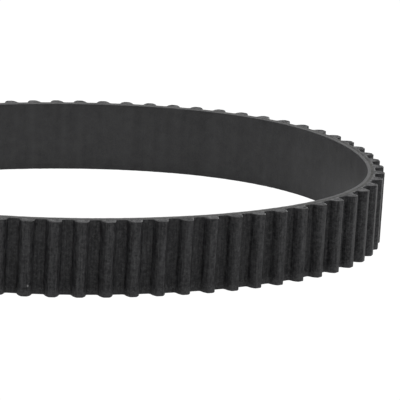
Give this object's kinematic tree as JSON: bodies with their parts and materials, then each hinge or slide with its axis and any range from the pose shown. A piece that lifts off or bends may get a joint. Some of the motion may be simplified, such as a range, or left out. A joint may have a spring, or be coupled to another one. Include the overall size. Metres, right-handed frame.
{
  "type": "timing belt",
  "caption": "Endless rubber timing belt standing on its edge, with rounded teeth outside and a smooth back inside; the loop can be squeezed.",
  "frame": {"origin": "centre of the belt's box, on the plane of its lower cut edge", "axes": "+X along the oval's long axis, +Y along its short axis, +Z across the belt's width, up as it stands"},
  "size_m": [0.0494, 0.0396, 0.0058],
  "materials": {
    "backing_rubber": "smooth moulded rubber, slightly sheened",
    "cord_ply": "adhesive-dipped glass-fibre cord, dull",
    "tooth_rubber": "cut rubber, matte",
    "tooth_facing": "fine woven facing bonded to the teeth, matte"
  },
  "bodies": {
    "section_01": {"backing_rubber_01": "backing_rubber", "cord_ply_01": "cord_ply", "tooth_rubber_01": "tooth_rubber", "tooth_facing_01": "tooth_facing"},
    "section_02": {"backing_rubber_02": "backing_rubber", "cord_ply_02": "cord_ply", "tooth_rubber_02": "tooth_rubber", "tooth_facing_02": "tooth_facing"},
    "section_03": {"backing_rubber_03": "backing_rubber", "cord_ply_03": "cord_ply", "tooth_rubber_03": "tooth_rubber", "tooth_facing_03": "tooth_facing"},
    "section_04": {"backing_rubber_04": "backing_rubber", "cord_ply_04": "cord_ply", "tooth_rubber_04": "tooth_rubber", "tooth_facing_04": "tooth_facing"},
    "section_05": {"backing_rubber_05": "backing_rubber", "cord_ply_05": "cord_ply", "tooth_rubber_05": "tooth_rubber", "tooth_facing_05": "tooth_facing"},
    "section_06": {"backing_rubber_06": "backing_rubber", "cord_ply_06": "cord_ply", "tooth_rubber_06": "tooth_rubber", "tooth_facing_06": "tooth_facing"},
    "section_07": {"backing_rubber_07": "backing_rubber", "cord_ply_07": "cord_ply", "tooth_rubber_07": "tooth_rubber", "tooth_facing_07": "tooth_facing"},
    "section_08": {"backing_rubber_08": "backing_rubber", "cord_ply_08": "cord_ply", "tooth_rubber_08": "tooth_rubber", "tooth_facing_08": "tooth_facing"},
    "section_09": {"backing_rubber_09": "backing_rubber", "cord_ply_09": "cord_ply", "tooth_rubber_09": "tooth_rubber", "tooth_facing_09": "tooth_facing"},
    "section_10": {"backing_rubber_10": "backing_rubber", "cord_ply_10": "cord_ply", "tooth_rubber_10": "tooth_rubber", "tooth_facing_10": "tooth_facing"},
    "section_11": {"backing_rubber_11": "backing_rubber", "cord_ply_11": "cord_ply", "tooth_rubber_11": "tooth_rubber", "tooth_facing_11": "tooth_facing"},
    "section_12": {"backing_rubber_12": "backing_rubber", "cord_ply_12": "cord_ply", "tooth_rubber_12": "tooth_rubber", "tooth_facing_12": "tooth_facing"},
    "section_13": {"backing_rubber_13": "backing_rubber", "cord_ply_13": "cord_ply", "tooth_rubber_13": "tooth_rubber", "tooth_facing_13": "tooth_facing"}
  },
  "joints": [
    {"name": "far_strand_bend_before", "type": "hinge", "parent": "section_07", "child": "section_08", "pos_m": [0.00986, 0.01741, 0], "axis": [0, 0, 1], "range_deg": [-10.8, 5.4]},
    {"name": "far_strand_bend", "type": "hinge", "parent": "section_08", "child": "section_09", "pos_m": [0, 0.01882, 0], "axis": [0, 0, 1], "range_deg": [-18, 9]},
    {"name": "far_strand_bend_after", "type": "hinge", "parent": "section_09", "child": "section_10", "pos_m": [-0.00986, 0.01741, 0], "axis": [0, 0, 1], "range_deg": [-10.8, 5.4]},
    {"name": "left_end_bend_before", "type": "hinge", "parent": "section_10", "child": "section_11", "pos_m": [-0.02106, 0.00952, 0], "axis": [0, 0, 1], "range_deg": [-5.4, 10.8]},
    {"name": "left_end_bend", "type": "hinge", "parent": "section_11", "child": "section_12", "pos_m": [-0.02368, 0, 0], "axis": [0, 0, 1], "range_deg": [-9, 18]},
    {"name": "left_end_bend_after", "type": "hinge", "parent": "section_12", "child": "section_13", "pos_m": [-0.02106, -0.00952, 0], "axis": [0, 0, 1], "range_deg": [-5.4, 10.8]},
    {"name": "right_end_bend_after", "type": "hinge", "parent": "section_07", "child": "section_06", "pos_m": [0.02106, 0.00952, 0], "axis": [0, 0, -1], "range_deg": [-5.4, 10.8]},
    {"name": "right_end_bend", "type": "hinge", "parent": "section_06", "child": "section_05", "pos_m": [0.02368, 0, 0], "axis": [0, 0, -1], "range_deg": [-9, 18], "stiffness_Nm_per_rad": 0.003},
    {"name": "right_end_bend_before", "type": "hinge", "parent": "section_05", "child": "section_04", "pos_m": [0.02106, -0.00952, 0], "axis": [0, 0, -1], "range_deg": [-5.4, 10.8]},
    {"name": "near_strand_bend_after", "type": "hinge", "parent": "section_04", "child": "section_03", "pos_m": [0.00986, -0.01741, 0], "axis": [0, 0, -1], "range_deg": [-10.8, 5.4]},
    {"name": "near_strand_bend", "type": "hinge", "parent": "section_03", "child": "section_02", "pos_m": [0, -0.01882, 0], "axis": [0, 0, -1], "range_deg": [-18, 9]},
    {"name": "near_strand_bend_before", "type": "hinge", "parent": "section_02", "child": "section_01", "pos_m": [-0.00986, -0.01741, 0], "axis": [0, 0, -1], "range_deg": [-10.8, 5.4]}
  ],
  "couplings": [
    {"joint": "far_strand_bend_before", "follows": "right_end_bend", "ratio": -0.6},
    {"joint": "far_strand_bend", "follows": "right_end_bend", "ratio": -1},
    {"joint": "far_strand_bend_after", "follows": "right_end_bend", "ratio": -0.6},
    {"joint": "left_end_bend_before", "follows": "right_end_bend", "ratio": 0.6},
    {"joint": "left_end_bend", "follows": "right_end_bend", "ratio": 1},
    {"joint": "left_end_bend_after", "follows": "right_end_bend", "ratio": 0.6},
    {"joint": "right_end_bend_after", "follows": "right_end_bend", "ratio": 0.6},
    {"joint": "right_end_bend_before", "follows": "right_end_bend", "ratio": 0.6},
    {"joint": "near_strand_bend_after", "follows": "right_end_bend", "ratio": -0.6},
    {"joint": "near_strand_bend", "follows": "right_end_bend", "ratio": -1},
    {"joint": "near_strand_bend_before", "follows": "right_end_bend", "ratio": -0.6}
  ]
}
